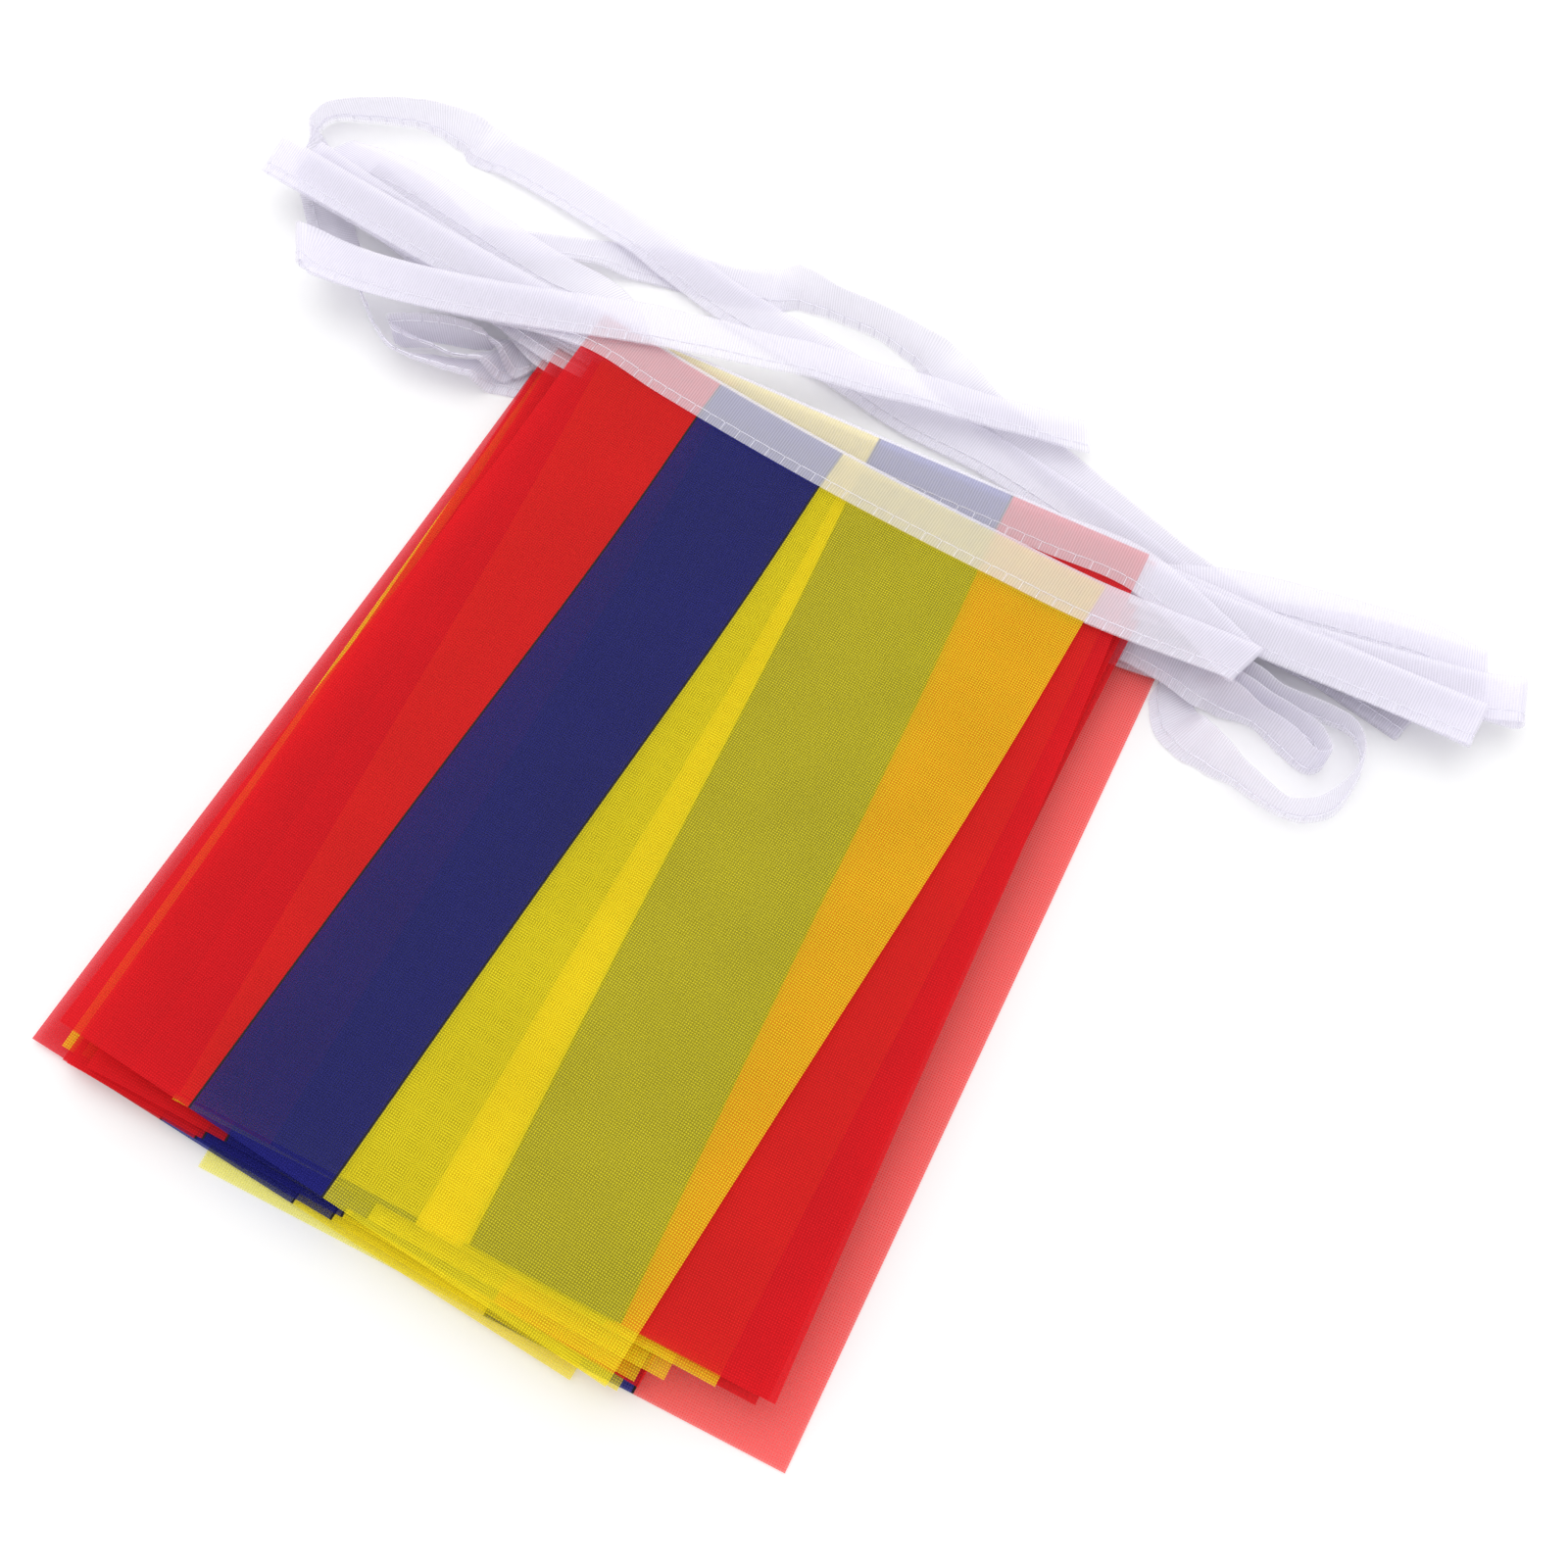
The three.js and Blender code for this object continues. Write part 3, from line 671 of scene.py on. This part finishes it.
# Half of the tape's section: how far up from the lower edge, and how far the layer stands off.
HALF_SECTION = (
    (0.0, 0.32),
    (1.3, 0.26),
    (STITCH_LINE, 0.12),
    (4.2, 0.24),
    (6.6, 0.30),
    (9.4, 0.28),
    (11.0, 0.20),
    (11.38, 0.12),
)
RIB = 0.65
WEFT = 0.4
TAPE_YARN = (0.89, 0.87, 0.94, 1)
TAPE_GLOW = (0.985, 0.98, 1.0, 1)
TAPE_OPEN = 0.68
TAPE_ROUGHNESS = 0.7
LIT_THROUGH = 0.15


def tape_piece():
    """The folded ribbon: up one side of its section, round the fold and down the other."""
    far_side = [(up_by, -off) for up_by, off in reversed(HALF_SECTION)]
    profile = [*HALF_SECTION, (TAPE_WIDTH, 0.0), *far_side]
    points, on_cloth = [], []
    for middle, rise, face, run in zip(middles, rises, outward_faces, runs):
        for column, (up_by, off) in enumerate(profile):
            points.append((middle + rise * (up_by - TAPE_WIDTH / 2) + face * off) * MM)
            round_by = up_by if column <= len(HALF_SECTION) else 2 * TAPE_WIDTH - up_by
            on_cloth.append((run, round_by, 0))
    return cloth_mesh("tape_ribbon", points, grid_faces(len(middles), len(profile)), on_cloth)


def tape_finish():
    finish = Finish("ribbed_tape")
    along, across = finish.place()
    weft = finish.math("MULTIPLY", finish.wave(across, WEFT), 0.25)
    weave = finish.math("MULTIPLY_ADD", finish.wave(along, RIB), 0.75, weft)
    open_share = finish.math("MULTIPLY_ADD", weave, -0.2, TAPE_OPEN)
    return finish.sheer_cloth(
        TAPE_YARN, TAPE_ROUGHNESS, weave, open_share, TAPE_GLOW, lit_through=LIT_THROUGH
    )


tape = tape_piece()
tape.data.materials.append(tape_finish())
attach(tape, "root")
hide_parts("tape")

# Thread: white sewing thread in a row of stitches a little above the tape's lower edges, each with
# a short leg down to the edge. It is sewn through both sides of the tape.
THREAD = 0.11
THREAD_COLOUR = (0.86, 0.85, 0.92, 1)
THREAD_ROUGHNESS = 0.6
STITCH_START = 0.05
STITCH_SPAN = 0.9
STITCH_POINTS = (0.0, 0.25, 0.5, 0.75, 1.0)

# A leg: how far up from the tape's lower edge, and how far off its middle.
THREAD_LEG = ((STITCH_LINE, 0.2), (1.3, 0.34), (0.05, 0.36))


def thread_finish():
    finish = Finish("white_thread")
    shader = finish.node("ShaderNodeBsdfPrincipled")
    shader.inputs["Base Color"].default_value = THREAD_COLOUR
    shader.inputs["Roughness"].default_value = THREAD_ROUGHNESS
    output = finish.node("ShaderNodeOutputMaterial")
    finish.tree.links.new(shader.outputs[0], output.inputs["Surface"])
    return finish.material


def frame_at(run):
    """The tape's middle, its upward direction and its face at a length along it."""
    i = min(max(int(np.searchsorted(runs, run)) - 1, 0), len(runs) - 2)
    share = (run - runs[i]) / max(runs[i + 1] - runs[i], 1e-9)
    return tuple(
        values[i].lerp(values[i + 1], share) for values in (middles, rises, outward_faces)
    )


def bar(points, faces, line, sides, width):
    """Adds a thin three-sided bar along a line of points."""
    start = len(points)
    for point, side in zip(line, sides):
        along = (line[-1] - line[0]).normalized()
        over = along.cross(side).normalized()
        for angle in (90, 210, 330):
            offset = side * math.sin(math.radians(angle)) + over * math.cos(math.radians(angle))
            points.append((point + offset * width) * MM)
    for k in range(len(line) - 1):
        for n in range(3):
            a, b = start + 3 * k + n, start + 3 * k + (n + 1) % 3
            faces.append((a, b, b + 3, a + 3))
    last = start + 3 * (len(line) - 1)
    faces.append((start + 2, start + 1, start))
    faces.append((last, last + 1, last + 2))


def thread_piece():
    """Stitches along both sides of the tape, each with its leg."""
    points, faces = [], []
    for n in range(int(tape_length / STITCH)):
        begin = (n + STITCH_START) * STITCH
        for side in (1, -1):
            line, sides = [], []
            for share in STITCH_POINTS:
                middle, rise, face = frame_at(begin + share * STITCH_SPAN * STITCH)
                off = 0.12 + THREAD * (0.2 + 0.9 * math.sin(math.pi * share))
                line.append(middle + rise * (STITCH_LINE - TAPE_WIDTH / 2) + face * side * off)
                sides.append(face * side)
            bar(points, faces, line, sides, THREAD)
            middle, rise, face = frame_at(n * STITCH)
            leg = [
                middle + rise * (up_by - TAPE_WIDTH / 2) + face * side * off
                for up_by, off in THREAD_LEG
            ]
            bar(points, faces, leg, [face * side] * len(leg), 0.8 * THREAD)
    mesh = bpy.data.meshes.new("thread_stitches")
    mesh.from_pydata(points, [], faces)
    piece = bpy.data.objects.new("thread_stitches", mesh)
    bpy.context.scene.collection.objects.link(piece)
    return piece


thread = thread_piece()
thread.data.materials.append(thread_finish())
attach(thread, "root")

# Studio: a plain white floor, an even white surround and one wide soft lamp overhead.
FLOOR_SIZE = 6.0
PAPER = (0.85, 0.85, 0.85, 1)
SURROUND = 1.0
LAMP_POWER = 12
LAMP_SIZE = 1.6
LAMP_PLACE = (-0.3, 0.45, 1.6)
floor_mesh = bpy.data.meshes.new("floor")
half = FLOOR_SIZE / 2
floor_mesh.from_pydata(
    [(-half, -half, 0), (half, -half, 0), (half, half, 0), (-half, half, 0)], [], [(0, 1, 2, 3)]
)
floor = bpy.data.objects.new("floor", floor_mesh)
bpy.context.scene.collection.objects.link(floor)
paper = Finish("white_paper")
matt = paper.node("ShaderNodeBsdfDiffuse")
matt.inputs["Color"].default_value = PAPER
paper_out = paper.node("ShaderNodeOutputMaterial")
paper.tree.links.new(matt.outputs[0], paper_out.inputs["Surface"])
floor.data.materials.append(paper.material)

world = bpy.data.worlds.new("studio")
world.use_nodes = True
surround = world.node_tree.nodes["Background"]
surround.inputs["Color"].default_value = (1, 1, 1, 1)
surround.inputs["Strength"].default_value = SURROUND
bpy.context.scene.world = world
lamp = bpy.data.objects.new("soft_lamp", bpy.data.lights.new("soft_lamp", "AREA"))
lamp.data.energy = LAMP_POWER
lamp.data.size = LAMP_SIZE
lamp.location = LAMP_PLACE
lamp.rotation_euler = (-Vector(LAMP_PLACE)).to_track_quat("-Z", "Y").to_euler()
bpy.context.scene.collection.objects.link(lamp)
bpy.context.scene.view_settings.view_transform = "Standard"
